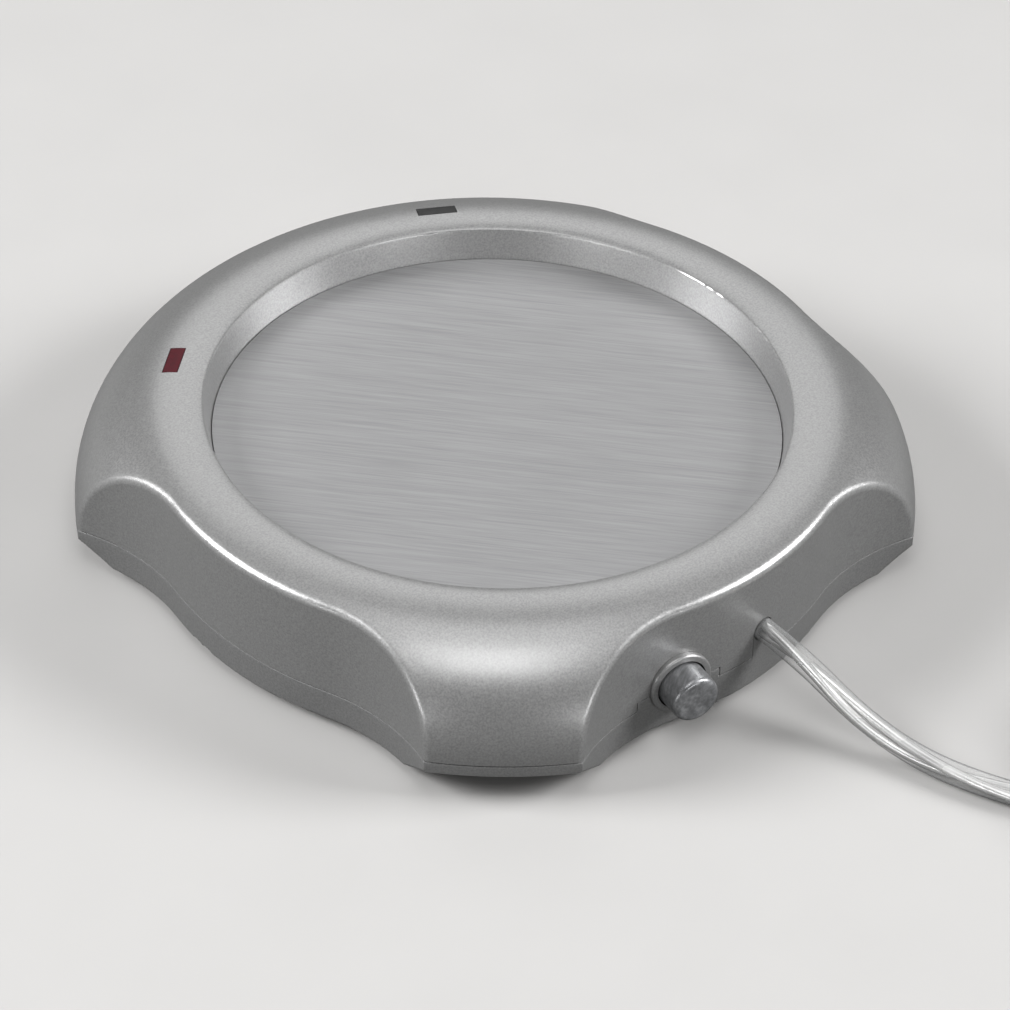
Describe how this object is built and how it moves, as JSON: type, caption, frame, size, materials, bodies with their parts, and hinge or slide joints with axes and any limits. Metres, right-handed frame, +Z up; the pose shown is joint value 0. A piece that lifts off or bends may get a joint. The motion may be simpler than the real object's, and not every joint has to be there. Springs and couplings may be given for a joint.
{
  "type": "mug warmer",
  "caption": "Electric mug warmer: domed three-lobed housing, recessed brushed warming plate, push button, two lamp lenses and a clear cord.",
  "frame": {"origin": "middle of the base's box, on the table the feet stand on", "axes": "+Z up; -Y towards the scallop that the cord leaves"},
  "size_m": [0.1758, 0.2176, 0.0244],
  "materials": {
    "silver_paint": "semi-gloss silver paint",
    "silver_paint_low": "semi-gloss silver paint",
    "brushed_plate": "brushed",
    "seal_rubber": "matte",
    "heater_film": "printed film",
    "glass_wool": "felted fibre",
    "shield_steel": "plain sheet",
    "screw_steel": "bright zinc",
    "red_lens": "clear red, unlit",
    "grey_lens": "smoked",
    "lamp_resin": "clear resin",
    "circuit_board": "solder mask",
    "board_plastic": "moulded",
    "button_paint": "satin silver",
    "collar_metal": "satin silver",
    "cutout_case": "drawn can",
    "lead_cover": "silicone",
    "foot_rubber": "matte",
    "clear_jacket": "clear vinyl over bright conductors",
    "tie_vinyl": "soft vinyl",
    "plug_vinyl": "moulded vinyl",
    "plug_nickel": "nickel plate",
    "tongue_plastic": "moulded",
    "contact_gilt": "gilt"
  },
  "bodies": {
    "housing": {"top_cover": "silver_paint", "bottom_cover": "silver_paint_low", "warming_plate": "brushed_plate", "plate_seal": "seal_rubber", "heater_disc": "heater_film", "insulation_pad": "glass_wool", "heat_shield": "shield_steel", "stack_screws": "screw_steel", "cover_screws": "screw_steel", "red_lens": "red_lens", "grey_lens": "grey_lens", "heating_lamp": "lamp_resin", "standby_lamp": "lamp_resin", "lamp_board": "circuit_board", "control_board": "circuit_board", "board_screws": "screw_steel", "board_parts": "board_plastic", "button_collar": "collar_metal", "push_switch": "board_plastic", "return_spring": "screw_steel", "thermal_cutout": "cutout_case", "cutout_clip": "shield_steel", "cord_clamp": "board_plastic", "clamp_screws": "screw_steel", "cord_inner_end": "clear_jacket", "supply_leads": "lead_cover", "heater_leads": "lead_cover", "lamp_leads": "lead_cover", "foot_back_right": "foot_rubber", "foot_back_left": "foot_rubber", "foot_front_left": "foot_rubber", "foot_front_right": "foot_rubber", "power_cord": "clear_jacket", "cord_coil": "clear_jacket", "cord_tail": "clear_jacket", "cord_tie": "tie_vinyl", "plug_relief": "plug_vinyl", "plug_body": "plug_vinyl", "plug_shell": "plug_nickel", "plug_tongue": "tongue_plastic", "plug_contacts": "contact_gilt"},
    "button": {"power_button": "button_paint", "switch_plunger": "board_plastic"}
  },
  "joints": [
    {"name": "button_press", "type": "slide", "parent": "housing", "child": "button", "axis": [0.289, 0.9573, 0], "range_m": [0, 0.0025], "stiffness_N_per_m": 300, "springref_m": -0.001, "deforming": ["return_spring"]}
  ]
}
